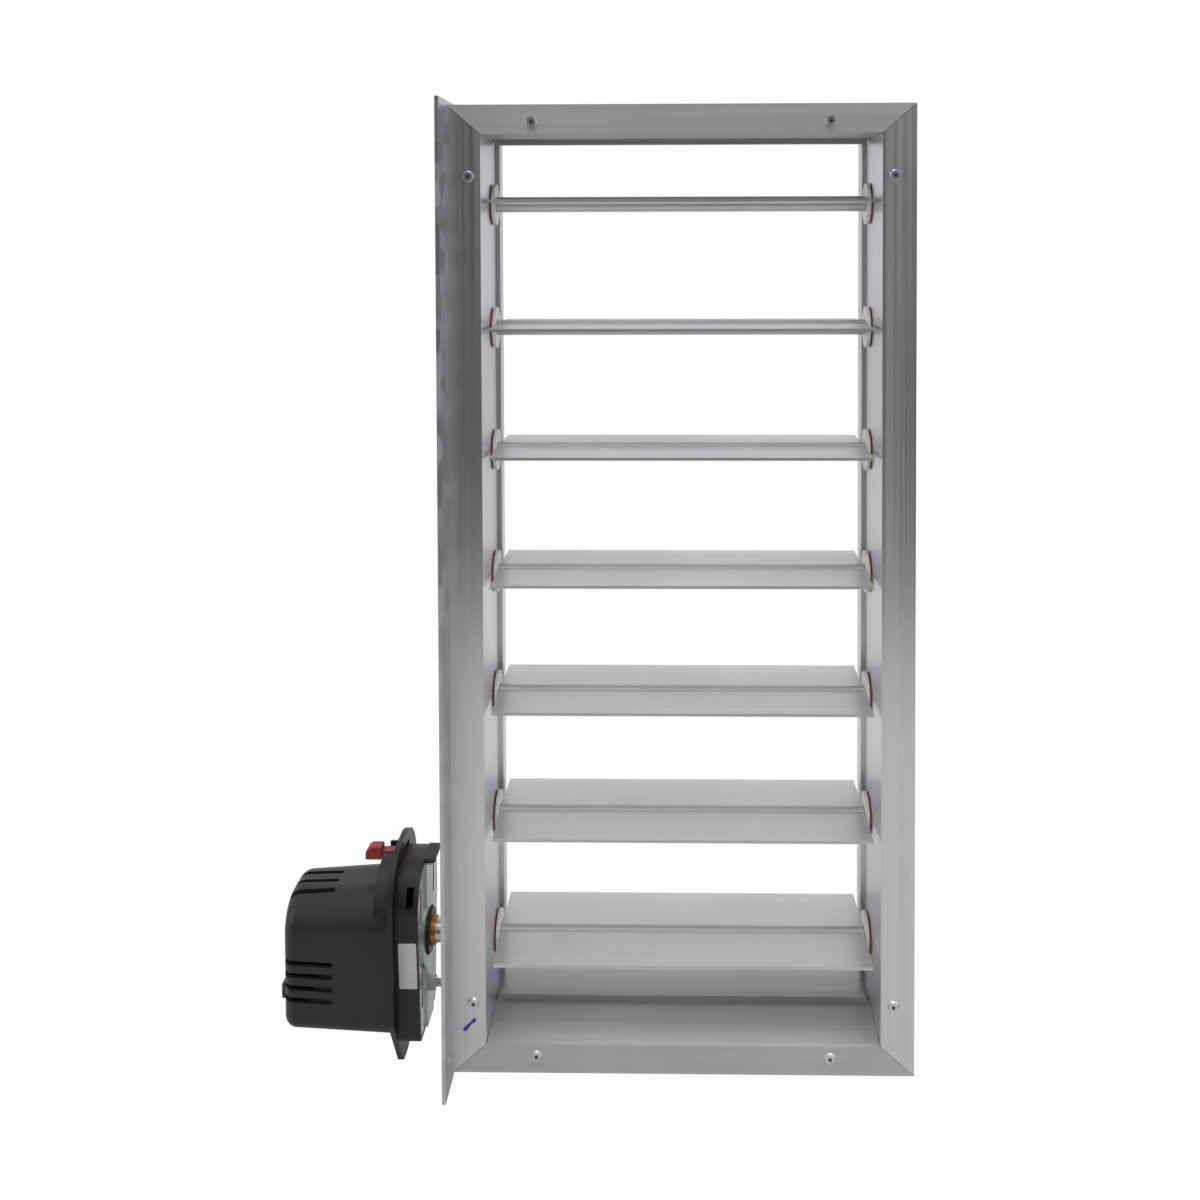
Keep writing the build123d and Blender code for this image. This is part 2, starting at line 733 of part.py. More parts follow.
with BuildPart() as release_lever:
    with BuildSketch(Plane.XZ.offset(lever_width / 2)):
        with Locations(((lever_front + collar_front - lever_gap) / 2, drive_height + (lever_foot + lever_top) / 2)):
            Rectangle(collar_front - lever_gap - lever_front, lever_top - lever_foot)
        fillet(vertices().group_by(Axis.X)[0].sort_by(Axis.Y)[-1], lever_radius)
    extrude(amount=-lever_width)
    with BuildSketch(Plane.XY.offset(drive_height + stem_foot)):
        with Locations(((lever_front + lever_radius + stem_back) / 2, 0)):
            Rectangle(stem_back - lever_front - lever_radius, stem_width)
    extrude(amount=stem_height)
    fillet(release_lever.faces().sort_by(Axis.Z)[-1].edges().filter_by(Axis.X), lever_edge)
write(release_lever, "release_lever")

with BuildPart() as cover_clip:
    with BuildSketch(outward(housing_end, drive_height)):
        with Locations((-clip_at[0], clip_at[1])):
            Rectangle(clip_width, clip_height)
    extrude(amount=clip_reach)
    fillet(cover_clip.faces().sort_by(Axis.X)[0].edges(), clip_reach / 3)
write(cover_clip, "cover_clip")

print("blade heights", [round(height, 1) for height in blade_heights], "blade length", blade_length)
print("crank pin", round(pin_y, 2), round(pin_z, 2), "drive height", round(drive_height, 2))
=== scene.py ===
# %% [markdown]
# # A slide-in zone damper
# The part is a channel frame with seven air blades and a motor on its side. The metal and plastic solids come
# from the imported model, which is loaded first and never moved. This file gives each of them its finish, adds
# the small things that are quicker to draw than to machine, and sets up the light and the camera.

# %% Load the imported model
import bpy
import bmesh
import math
from mathutils import Matrix, Vector


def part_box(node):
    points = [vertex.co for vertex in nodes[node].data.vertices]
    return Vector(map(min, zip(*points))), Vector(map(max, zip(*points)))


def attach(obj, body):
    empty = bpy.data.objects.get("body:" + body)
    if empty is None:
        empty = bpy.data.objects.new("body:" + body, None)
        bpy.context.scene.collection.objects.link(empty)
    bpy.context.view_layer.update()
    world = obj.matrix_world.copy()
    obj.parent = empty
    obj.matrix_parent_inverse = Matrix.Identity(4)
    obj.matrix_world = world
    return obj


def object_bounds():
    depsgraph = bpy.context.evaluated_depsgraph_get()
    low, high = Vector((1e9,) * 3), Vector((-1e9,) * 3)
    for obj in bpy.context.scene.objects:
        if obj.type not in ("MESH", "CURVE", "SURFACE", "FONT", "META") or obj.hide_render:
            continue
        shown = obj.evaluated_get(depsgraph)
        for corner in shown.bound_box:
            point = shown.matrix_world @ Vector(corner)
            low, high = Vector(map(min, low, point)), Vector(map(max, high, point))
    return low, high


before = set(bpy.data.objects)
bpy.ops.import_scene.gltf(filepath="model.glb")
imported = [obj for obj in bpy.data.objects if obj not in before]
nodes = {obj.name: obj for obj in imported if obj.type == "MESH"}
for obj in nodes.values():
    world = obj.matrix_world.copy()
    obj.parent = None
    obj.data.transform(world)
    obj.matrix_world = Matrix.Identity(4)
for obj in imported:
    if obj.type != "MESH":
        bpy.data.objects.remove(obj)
cad_box = [list(corner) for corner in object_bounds()]
MM = 0.001
print("loaded", len(nodes), "nodes, box", [[round(v, 4) for v in corner] for corner in cad_box])

# %% [markdown]
# ## Sizes read from the model
# Extra pieces sit on the solids, so the nodes' own boxes give most of their places. The drive shaft gives the
# height of the motor, the stud gives the size of its thread, and the left stile gives the front face that the
# marker stroke is drawn on. The stud stands a fixed drop below the drive shaft.

# %% Places that the extra pieces hang on
left_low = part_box("frame_left_stile")[0]
stud_low, stud_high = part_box("anti_rotation_stud")
shaft_low, shaft_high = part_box("drive_shaft")
drive_height = (shaft_low.z + shaft_high.z) / 2
front_face = left_low.y
frame_width = 242 * MM
stud_drop = 30 * MM
print("drive axis at", round(drive_height / MM, 1), "mm, front face at", round(front_face / MM, 1), "mm")

# %% [markdown]
# ## A small kit for finishes
# Every finish is a node tree on a Principled shader. Most of them need the same few nodes: a stretched noise
# for lines left by a die, a ramp to choose how much of it shows, and a bump. Helpers keep each recipe short
# enough to read. All of them read Object coordinates, so a pattern stays on its piece when the blades turn.

# %% Node helpers


def start_finish(name):
    """A new material with an empty tree, a Principled shader and its output."""
    material = bpy.data.materials.new(name)
    material.use_nodes = True
    tree = material.node_tree
    tree.nodes.clear()
    shader = tree.nodes.new("ShaderNodeBsdfPrincipled")
    output = tree.nodes.new("ShaderNodeOutputMaterial")
    tree.links.new(shader.outputs["BSDF"], output.inputs["Surface"])
    return material, tree, shader


def object_coordinates(tree, stretch=(1, 1, 1), shift=(0, 0, 0)):
    """Object coordinates, scaled along each axis to stretch a pattern."""
    place = tree.nodes.new("ShaderNodeTexCoord")
    mapping = tree.nodes.new("ShaderNodeMapping")
    mapping.inputs["Scale"].default_value = stretch
    mapping.inputs["Location"].default_value = shift
    tree.links.new(place.outputs["Object"], mapping.inputs["Vector"])
    return mapping.outputs["Vector"]


def noise(tree, vector, scale, detail=4.0, roughness=0.55):
    """A grey noise field."""
    node = tree.nodes.new("ShaderNodeTexNoise")
    node.inputs["Scale"].default_value = scale
    node.inputs["Detail"].default_value = detail
    node.inputs["Roughness"].default_value = roughness
    tree.links.new(vector, node.inputs["Vector"])
    return node.outputs["Fac"]


def ramp(tree, value, low, high, low_colour, high_colour):
    """A field turned into a blend of two colours between two levels."""
    node = tree.nodes.new("ShaderNodeValToRGB")
    node.color_ramp.elements[0].position = low
    node.color_ramp.elements[1].position = high
    node.color_ramp.elements[0].color = (*low_colour, 1)
    node.color_ramp.elements[1].color = (*high_colour, 1)
    tree.links.new(value, node.inputs["Fac"])
    return node.outputs["Color"]


def blend_colour(tree, factor, first, second, how="MIX"):
    """Two colours mixed; first and second are sockets or plain colours."""
    node = tree.nodes.new("ShaderNodeMix")
    node.data_type = "RGBA"
    node.blend_type = how
    if hasattr(factor, "links"):
        tree.links.new(factor, node.inputs[0])
    else:
        node.inputs[0].default_value = factor
    for socket, colour in ((node.inputs[6], first), (node.inputs[7], second)):
        if hasattr(colour, "links"):
            tree.links.new(colour, socket)
        else:
            socket.default_value = (*colour, 1)
    return node.outputs[2]


def spread(tree, value, low, high, out_low, out_high):
    """A field mapped from one range to another."""
    node = tree.nodes.new("ShaderNodeMapRange")
    tree.links.new(value, node.inputs["Value"])
    for name, number in zip(("From Min", "From Max", "To Min", "To Max"), (low, high, out_low, out_high)):
        node.inputs[name].default_value = number
    return node.outputs["Result"]


def shade(colour, share):
    """A colour made darker or lighter by a share, and never brighter than white."""
    return tuple(min(1.0, channel * share) for channel in colour)


def relief(tree, shader, height, strength, distance):
    """A bump on the shader from a height field."""
    node = tree.nodes.new("ShaderNodeBump")
    node.inputs["Strength"].default_value = strength
    node.inputs["Distance"].default_value = distance
    tree.links.new(height, node.inputs["Height"])
    tree.links.new(node.outputs["Normal"], shader.inputs["Normal"])


print("helpers ready")

# %% [markdown]
# ## Mill-finish aluminium
# The frame and the blades are extrusions that were cut and never polished. Such metal is grey and a little
# cloudy, with straight lines that the die leaves along the bar, and a few handling scratches across them. The
# lines blur a reflection across the bar only, which is why a rail looks even while a stile fades from dark to
# bright. An anisotropic shader with its tangent around the bar's own axis gives that blur.

# %% Aluminium finish


def mill_aluminium(name, along, tone, roughness):
    """Extruded aluminium with die lines along one axis, cloudy patches and a few scratches."""
    material, tree, shader = start_finish(name)
    axis = "XYZ".index(along)
    lines = [420.0, 420.0, 420.0]
    lines[axis] = 1.5
    die = noise(tree, object_coordinates(tree, lines), 1.0, 5.0, 0.6)
    cloud = noise(tree, object_coordinates(tree), 11.0, 3.0, 0.5)
    scuffs = [160.0, 160.0, 160.0]
    scuffs[axis] = 700.0
    scratch = noise(tree, object_coordinates(tree, scuffs, (3.1, 1.7, 0.4)), 0.35, 3.0, 0.6)
    lined = ramp(tree, die, 0.3, 0.72, shade(tone, 0.86), tone)
    patches = ramp(tree, cloud, 0.3, 0.7, (0.82, 0.82, 0.83), (1, 1, 1))
    clouded = blend_colour(tree, 0.55, lined, patches, "MULTIPLY")
    marks = ramp(tree, scratch, 0.72, 0.80, (0, 0, 0), (0.05, 0.05, 0.05))
    colour = blend_colour(tree, 1.0, clouded, marks, "ADD")
    tree.links.new(colour, shader.inputs["Base Color"])
    uneven = spread(tree, die, 0.25, 0.75, roughness - 0.06, roughness + 0.08)
    tree.links.new(uneven, shader.inputs["Roughness"])
    shader.inputs["Metallic"].default_value = 1.0
    shader.inputs["Anisotropic"].default_value = 0.75
    tangent = tree.nodes.new("ShaderNodeTangent")
    tangent.direction_type = "RADIAL"
    tangent.axis = along
    tree.links.new(tangent.outputs["Tangent"], shader.inputs["Tangent"])
    relief(tree, shader, die, strength=0.10, distance=0.0004)
    return material


rail_finish = mill_aluminium("rail_aluminium", "X", tone=(0.65, 0.645, 0.66), roughness=0.52)
stile_finish = mill_aluminium("stile_aluminium", "Z", tone=(0.715, 0.71, 0.725), roughness=0.34)
blade_finish = mill_aluminium("blade_aluminium", "X", tone=(0.73, 0.725, 0.74), roughness=0.38)
rivet_finish = mill_aluminium("rivet_aluminium", "Y", tone=(0.66, 0.66, 0.68), roughness=0.34)
print("aluminium finishes:", rail_finish.name, stile_finish.name, blade_finish.name, rivet_finish.name)

# %% [markdown]
# ## Galvanised and plated steel
# The plate, the gussets and the motor's back plate are cut from galvanised sheet, which shows the flat
# crystals of the zinc. Voronoi cells with a random grey each give those crystals. Shafts and cranks are
# bright zinc plate, and the strap has the faint green of a passivated one. The bronze bushing shares the
# recipe of the plated steel, in its own colour.

# %% Steel finishes


def galvanised_sheet(name, tone, roughness, cell_scale):
    """Sheet steel with zinc crystals."""
    material, tree, shader = start_finish(name)
    cells = tree.nodes.new("ShaderNodeTexVoronoi")
    cells.inputs["Scale"].default_value = cell_scale
    tree.links.new(object_coordinates(tree), cells.inputs["Vector"])
    grey = tree.nodes.new("ShaderNodeRGBToBW")
    tree.links.new(cells.outputs["Color"], grey.inputs["Color"])
    crystals = ramp(tree, grey.outputs["Val"], 0.2, 0.8, shade(tone, 0.84), tone)
    cloud = noise(tree, object_coordinates(tree), 14.0, 3.0, 0.5)
    haze = ramp(tree, cloud, 0.35, 0.7, (0.86, 0.86, 0.87), (1, 1, 1))
    tree.links.new(blend_colour(tree, 0.6, crystals, haze, "MULTIPLY"), shader.inputs["Base Color"])
    uneven = spread(tree, grey.outputs["Val"], 0.2, 0.8, roughness - 0.05, roughness + 0.08)
    tree.links.new(uneven, shader.inputs["Roughness"])
    shader.inputs["Metallic"].default_value = 1.0
    relief(tree, shader, cloud, strength=0.05, distance=0.0006)
    return material


def zinc_plate(name, tone, roughness):
    """Plated steel with a thin cloudy film and fine rub marks."""
    material, tree, shader = start_finish(name)
    film = noise(tree, object_coordinates(tree), 60.0, 4.0, 0.6)
    rub = noise(tree, object_coordinates(tree, (900, 120, 900)), 1.0, 2.0, 0.5)
    filmed = ramp(tree, film, 0.3, 0.7, shade(tone, 0.7), tone)
    rubbed = ramp(tree, rub, 0.35, 0.65, (0.7, 0.7, 0.7), (1, 1, 1))
    tree.links.new(blend_colour(tree, 0.3, filmed, rubbed, "MULTIPLY"), shader.inputs["Base Color"])
    uneven = spread(tree, film, 0.3, 0.7, roughness - 0.06, roughness + 0.08)
    tree.links.new(uneven, shader.inputs["Roughness"])
    shader.inputs["Metallic"].default_value = 1.0
    relief(tree, shader, rub, strength=0.06, distance=0.0003)
    return material


plate_finish = galvanised_sheet("plate_galvanised", tone=(0.60, 0.61, 0.62), roughness=0.40, cell_scale=95.0)
back_plate_finish = galvanised_sheet("back_plate_galvanised", tone=(0.80, 0.81, 0.80), roughness=0.32,
                                     cell_scale=160.0)
zinc_finish = zinc_plate("bright_zinc", tone=(0.66, 0.67, 0.66), roughness=0.30)
strap_finish = zinc_plate("passivated_zinc", tone=(0.50, 0.58, 0.54), roughness=0.30)
bronze_finish = zinc_plate("sintered_bronze", tone=(0.62, 0.27, 0.08), roughness=0.38)
print("steel finishes:", plate_finish.name, back_plate_finish.name, zinc_finish.name, strap_finish.name)

# %% [markdown]
# ## Moulded plastics, fibre and rubber
# The motor's case is dark grey plastic with a fine spark-eroded grain and a soft sheen. Nylon bearings are
# milky and slightly uneven. The fibre washers are brown with short dark threads. One recipe with a few
# numbers covers all of them: a colour that drifts a little, a grain for the bump, and a roughness that
# follows the grain.

# %% Plastic finishes


def moulded(name, colour, drift, roughness, grain_scale, grain_depth, stretch=(1, 1, 1), sheen=0.5):
    """Plastic, fibre or rubber: a drifting colour with a fine moulded grain."""
    material, tree, shader = start_finish(name)
    slow = noise(tree, object_coordinates(tree), 24.0, 3.0, 0.5)
    grain = noise(tree, object_coordinates(tree, stretch), grain_scale, 2.0, 0.5)
    drifted = ramp(tree, slow, 0.3, 0.7, shade(colour, 1 - drift), shade(colour, 1 + drift))
    specks = ramp(tree, grain, 0.3, 0.7, (0.75, 0.75, 0.75), (1, 1, 1))
    speckled = blend_colour(tree, 0.35, drifted, specks, "MULTIPLY")
    tree.links.new(speckled, shader.inputs["Base Color"])
    uneven = spread(tree, grain, 0.3, 0.7, roughness - 0.05, roughness + 0.07)
    tree.links.new(uneven, shader.inputs["Roughness"])
    shader.inputs["Specular IOR Level"].default_value = sheen
    relief(tree, shader, grain, strength=0.25, distance=grain_depth)
    return material


# After the colour come its drift, the roughness, and the grain's scale and depth.
case_finish = moulded("case_plastic", (0.016, 0.016, 0.0175), 0.10, 0.40, 1500.0, 0.00006, sheen=0.32)
black_finish = moulded("black_plastic", (0.014, 0.014, 0.015), 0.15, 0.40, 1200.0, 0.00008)
rubber_finish = moulded("black_rubber", (0.016, 0.016, 0.016), 0.15, 0.62, 900.0, 0.0001)
lever_finish = moulded("lever_plastic", (0.27, 0.010, 0.009), 0.06, 0.30, 420.0, 0.00001, sheen=0.4)
nylon_finish = moulded("bearing_nylon", (0.80, 0.80, 0.77), 0.05, 0.40, 700.0, 0.00006)
fibre_finish = moulded("washer_fibre", (0.21, 0.085, 0.035), 0.25, 0.70, 600.0, 0.0001, (1, 1, 3))
board_finish = moulded("circuit_board", (0.02, 0.13, 0.05), 0.10, 0.35, 400.0, 0.00006)
plate_paper_finish = moulded("bare_label", (0.62, 0.62, 0.62), 0.03, 0.55, 500.0, 0.00003)
print("plastic finishes:", case_finish.name, lever_finish.name, nylon_finish.name, fibre_finish.name)

# %% [markdown]
# ## Dress the solids
# Each node takes the finish of the real piece. Blades, cranks and blade shafts are found by the start of
# their names, so one entry stands for each family.

# %% Give each node its finish
finish_of = {
    "frame_top_rail": rail_finish, "frame_bottom_rail": rail_finish,
    "frame_left_stile": stile_finish, "frame_right_stile": stile_finish,
    "front_gussets": plate_finish, "rear_gussets": plate_finish, "plate_angles": plate_finish,
    "front_rivets": rivet_finish, "rear_rivets": rivet_finish, "plate_rivets": rivet_finish,
    "mounting_plate": plate_finish, "actuator_back_plate": back_plate_finish,
    "left_bearings": nylon_finish, "right_bearings": nylon_finish,
    "left_washers": fibre_finish, "right_washers": fibre_finish,
    "drive_shaft": zinc_finish, "linkage_bar": zinc_finish, "gear_motor": zinc_finish,
    "anti_rotation_stud": zinc_finish, "stud_nuts": zinc_finish, "mounting_strap": strap_finish,
    "actuator_housing": case_finish, "actuator_base": case_finish,
    "hub_clamp": black_finish, "drive_coupling": black_finish, "terminal_block": black_finish,
    "cover_clip": black_finish, "strap_bumper": rubber_finish, "hub_bushing": bronze_finish,
    "release_lever": lever_finish, "circuit_board": board_finish,
}
family_finish = {"blade_shaft_": zinc_finish, "blade_": blade_finish, "crank_": zinc_finish}
for name, node in nodes.items():
    finish = finish_of.get(name)
    if finish is None:
        finish = next(made for start, made in family_finish.items() if name.startswith(start))
    node.data.materials.clear()
    node.data.materials.append(finish)
print("dressed", len(nodes), "nodes")

# %% [markdown]
# ## Rows made with Geometry Nodes
# A row of equal things is one shape and a rule for its places. The tree below puts a ring on each point of a
# line, and the inputs give its radius, its thickness, its spacing and how many there are. It draws the rolled
# thread on the stud. A second tree puts a small plug on given points, for the pulled pins in the rivets.

# %% Thread rings on the stud


def ring_row_tree(name, finish):
    """Rings along X: radius, thickness, spacing and count are inputs."""
    tree = bpy.data.node_groups.new(name, "GeometryNodeTree")
    face = tree.interface
    face.new_socket("Geometry", in_out="INPUT", socket_type="NodeSocketGeometry")
    for label, kind in (("Radius", "NodeSocketFloat"), ("Thickness", "NodeSocketFloat"),
                        ("Spacing", "NodeSocketVector"), ("Start", "NodeSocketVector"),
                        ("Count", "NodeSocketInt")):
        face.new_socket(label, in_out="INPUT", socket_type=kind)
    face.new_socket("Geometry", in_out="OUTPUT", socket_type="NodeSocketGeometry")
    given = tree.nodes.new("NodeGroupInput")
    result = tree.nodes.new("NodeGroupOutput")
    line = tree.nodes.new("GeometryNodeMeshLine")
    ring = tree.nodes.new("GeometryNodeCurvePrimitiveCircle")
    profile = tree.nodes.new("GeometryNodeCurvePrimitiveCircle")
    sweep = tree.nodes.new("GeometryNodeCurveToMesh")
    turn = tree.nodes.new("GeometryNodeTransform")
    place = tree.nodes.new("GeometryNodeInstanceOnPoints")
    real = tree.nodes.new("GeometryNodeRealizeInstances")
    paint = tree.nodes.new("GeometryNodeSetMaterial")
    ring.inputs["Resolution"].default_value = 20
    profile.inputs["Resolution"].default_value = 5
    turn.inputs["Rotation"].default_value = (0, math.pi / 2, 0)
    paint.inputs["Material"].default_value = finish
    link = tree.links.new
    link(given.outputs["Count"], line.inputs["Count"])
    link(given.outputs["Start"], line.inputs["Start Location"])
    link(given.outputs["Spacing"], line.inputs["Offset"])
    link(given.outputs["Radius"], ring.inputs["Radius"])
    link(given.outputs["Thickness"], profile.inputs["Radius"])
    link(ring.outputs["Curve"], sweep.inputs["Curve"])
    link(profile.outputs["Curve"], sweep.inputs["Profile Curve"])
    link(sweep.outputs["Mesh"], turn.inputs["Geometry"])
    link(line.outputs["Mesh"], place.inputs["Points"])
    link(turn.outputs["Geometry"], place.inputs["Instance"])
    link(place.outputs["Instances"], real.inputs["Geometry"])
    link(real.outputs["Geometry"], paint.inputs["Geometry"])
    link(paint.outputs["Geometry"], result.inputs["Geometry"])
    return tree


def grow(name, tree, values, finish, points=()):
    """Runs a tree on a carrier mesh and keeps the result as a plain mesh at the origin."""
    carrier = bpy.data.meshes.new(name + "_carrier")
    carrier.from_pydata(list(points), [], [])
    piece = bpy.data.objects.new(name, carrier)
    bpy.context.scene.collection.objects.link(piece)
    modifier = piece.modifiers.new("row", "NODES")
    modifier.node_group = tree
    for item in tree.interface.items_tree:
        if item.in_out == "INPUT" and item.name in values:
            modifier[item.identifier] = values[item.name]
    evaluated = piece.evaluated_get(bpy.context.evaluated_depsgraph_get())
    mesh = bpy.data.meshes.new_from_object(evaluated)
    piece.modifiers.remove(modifier)
    piece.data = mesh
    if not mesh.materials:
        mesh.materials.append(finish)
    print(name, len(mesh.polygons), "faces")
    return piece


thread_pitch = 0.7 * MM
thread_end = -5.6 * MM
ring_sink = 0.05 * MM
thread_radius = (stud_high.z - stud_low.z) / 2
thread_tree = ring_row_tree("thread_rings", zinc_finish)
thread = grow("stud_thread", thread_tree, {
    "Radius": thread_radius - ring_sink, "Thickness": 0.22 * MM, "Spacing": (thread_pitch, 0.0, 0.0),
    "Start": (stud_low.x + thread_pitch, 0.0, drive_height - stud_drop),
    "Count": int((thread_end - stud_low.x) / thread_pitch) - 1}, zinc_finish)
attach(thread, "frame")

# %% [markdown]
# ## Pulled pins in the blind rivets
# A blind rivet is set by pulling a steel pin until it snaps, and the stump of the pin stays in the head. The
# stump is a short plug a little below the rim of the head. The steel stump is real, but its near-black tone is
# painted shade of the bore, and that shade makes it a dark dot. It is drawn once and put on a point for each
# rivet, front and rear. A rivet's place is its distance in from the frame's side and its height above or below
# the middle.

# %% Pin stumps


def plug_tree(name, finish):
    """A short plug with a soft rim on each point of the carrier, turned by an input."""
    tree = bpy.data.node_groups.new(name, "GeometryNodeTree")
    face = tree.interface
    face.new_socket("Geometry", in_out="INPUT", socket_type="NodeSocketGeometry")
    for label, kind in (("Radius", "NodeSocketFloat"), ("Height", "NodeSocketFloat"),
                        ("Turn", "NodeSocketVector")):
        face.new_socket(label, in_out="INPUT", socket_type=kind)
    face.new_socket("Geometry", in_out="OUTPUT", socket_type="NodeSocketGeometry")
    given = tree.nodes.new("NodeGroupInput")
    result = tree.nodes.new("NodeGroupOutput")
    dome = tree.nodes.new("GeometryNodeMeshUVSphere")
    flatten = tree.nodes.new("GeometryNodeTransform")
    size = tree.nodes.new("ShaderNodeCombineXYZ")
    place = tree.nodes.new("GeometryNodeInstanceOnPoints")
    real = tree.nodes.new("GeometryNodeRealizeInstances")
    paint = tree.nodes.new("GeometryNodeSetMaterial")
    dome.inputs["Segments"].default_value = 14
    dome.inputs["Rings"].default_value = 8
    dome.inputs["Radius"].default_value = 1.0
    paint.inputs["Material"].default_value = finish
    link = tree.links.new
    link(given.outputs["Radius"], size.inputs["X"])
    link(given.outputs["Radius"], size.inputs["Y"])
    link(given.outputs["Height"], size.inputs["Z"])
    link(size.outputs["Vector"], flatten.inputs["Scale"])
    link(given.outputs["Turn"], flatten.inputs["Rotation"])
    link(dome.outputs["Mesh"], flatten.inputs["Geometry"])
    link(given.outputs["Geometry"], place.inputs["Points"])
    link(flatten.outputs["Geometry"], place.inputs["Instance"])
    link(place.outputs["Instances"], real.inputs["Geometry"])
    link(real.outputs["Geometry"], paint.inputs["Geometry"])
    link(paint.outputs["Geometry"], result.inputs["Geometry"])
    return tree


# The stump is real steel, but its near-black tone is painted shade of the rivet's bore.
pin_steel_with_painted_shade = zinc_plate("rivet_pin_steel_with_painted_shade", (0.10, 0.10, 0.11), 0.45)
rail_rivet_in, rail_rivet_height = 44 * MM, 245 * MM
stile_rivet_in, stile_rivet_height = 11 * MM, 217 * MM
pin_depth = 0.62 * MM
rivet_spots = []
for inset, height in ((rail_rivet_in, rail_rivet_height), (stile_rivet_in, stile_rivet_height)):
    for x in (left_low.x + inset, left_low.x + frame_width - inset):
        rivet_spots += [(x, -height), (x, height)]
front_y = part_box("front_rivets")[0].y + pin_depth
rear_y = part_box("rear_rivets")[1].y - pin_depth
pin_tree = plug_tree("rivet_pins", pin_steel_with_painted_shade)
for side, y in (("front", front_y), ("rear", rear_y)):
    pins = grow(side + "_rivet_pins", pin_tree,
                {"Radius": 0.92 * MM, "Height": 0.30 * MM, "Turn": (math.pi / 2, 0.0, 0.0)}, pin_steel_with_painted_shade,
                [(x, y, z) for x, z in rivet_spots])
    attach(pins, "frame")

# %% [markdown]
# ## The bare plate and the marker stroke
# A small plain plate is stuck to the motor's base: a thin sheet with rounded corners, laid on the near wall.
# A blue pen stroke near the frame's bottom corner is a thin strip of ink with an uneven edge. Both are too
# thin to machine, so they are drawn as small meshes just proud of the wall that carries them.

# %% Bare plate on the base


def thin_sheet(name, outline, wall_at, lift, thickness, finish):
    """A thin closed sheet on a wall that faces -Y, from an outline in X and Z.

    wall_at gives the wall's Y at a height Z.
    """
    body = bmesh.new()
    face = body.faces.new([body.verts.new((x, wall_at(z) - lift, z)) for x, z in outline])
    body.normal_update()
    if face.normal.y > 0:
        face.normal_flip()
    grown = bmesh.ops.extrude_face_region(body, geom=[face])
    moved = [item for item in grown["geom"] if isinstance(item, bmesh.types.BMVert)]
    bmesh.ops.translate(body, vec=(0, -thickness, 0), verts=moved)
    bmesh.ops.recalc_face_normals(body, faces=body.faces)
    mesh = bpy.data.meshes.new(name)
    body.to_mesh(mesh)
    body.free()
    mesh.materials.append(finish)
    piece = bpy.data.objects.new(name, mesh)
    bpy.context.scene.collection.objects.link(piece)
    print(name, len(mesh.polygons), "faces")
    return piece


def rounded_box(low_x, high_x, low_z, high_z, radius, steps=5):
    """Corner points of a rounded rectangle."""
    points = []
    for cx, cz, start in ((high_x - radius, high_z - radius, 0), (low_x + radius, high_z - radius, 90),
                          (low_x + radius, low_z + radius, 180), (high_x - radius, low_z + radius, 270)):
        for step in range(steps + 1):
            angle = math.radians(start + 90 * step / steps)
            points.append((cx + radius * math.cos(angle), cz + radius * math.sin(angle)))
    return points


# Each is a height and the wall's Y there.
drum_shoulder = (drive_height + 10.0 * MM, -27.0 * MM)
drum_foot = (drive_height - 51.4 * MM, -20.5 * MM)


def drum_wall_at(z):
    """The Y of the drum's near wall, which leans inwards below its shoulder."""
    lean = (drum_foot[1] - drum_shoulder[1]) / (drum_foot[0] - drum_shoulder[0])
    return drum_shoulder[1] + lean * (z - drum_shoulder[0])


plate_sides = (-32.0 * MM, -22.2 * MM)
plate_ends = (drive_height - 18.6 * MM, drive_height + 8.0 * MM)
plate_corner = 0.8 * MM
bare_plate = thin_sheet("bare_plate", rounded_box(*plate_sides, *plate_ends, plate_corner),
                        drum_wall_at, lift=0.02 * MM, thickness=0.12 * MM, finish=plate_paper_finish)
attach(bare_plate, "frame")

# %% Blue marker stroke on the left stile
ink_finish = moulded("marker_ink", (0.045, 0.032, 0.30), 0.30, 0.5, 700.0, 0.00002)
stroke_start = Vector((5.7 * MM, 0, -231.7 * MM))
stroke_end = Vector((12.1 * MM, 0, -225.2 * MM))
along = (stroke_end - stroke_start).normalized()
aside = Vector((-along.z, 0, along.x))
stroke_steps = 12
stroke_half, slow_wave, quick_wave = 0.95 * MM, 0.28 * MM, 0.12 * MM
blunt_end, taper = 0.55, 3
edge_up, edge_down = [], []
for step in range(stroke_steps + 1):
    share = step / stroke_steps
    middle = stroke_start.lerp(stroke_end, share)
    half = stroke_half + slow_wave * math.sin(7 * share + 0.6) + quick_wave * math.sin(19 * share)
    half *= min(1.0, blunt_end + taper * share, blunt_end + taper * (1 - share))
    edge_up.append(middle + aside * half)
    edge_down.append(middle - aside * half)
stroke_outline = [(p.x, p.z) for p in edge_up] + [(p.x, p.z) for p in reversed(edge_down)]
marker_stroke = thin_sheet("marker_stroke", stroke_outline, lambda z: front_face,
                           lift=0.01 * MM, thickness=0.03 * MM, finish=ink_finish)
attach(marker_stroke, "frame")

# %% [markdown]
# ## Floor and light
# The part is held by its plate, so the pale floor lies just under it and nothing stands on it. Most of what
# bare metal shows is its surroundings. The room behind the camera is dim, the floor is bright and ends a step
# in front of the part, and the sides are pale: that is what makes the stiles fade from dark at eye height to
# bright near the floor. The world holds that room, and a camera ray sees plain white instead.

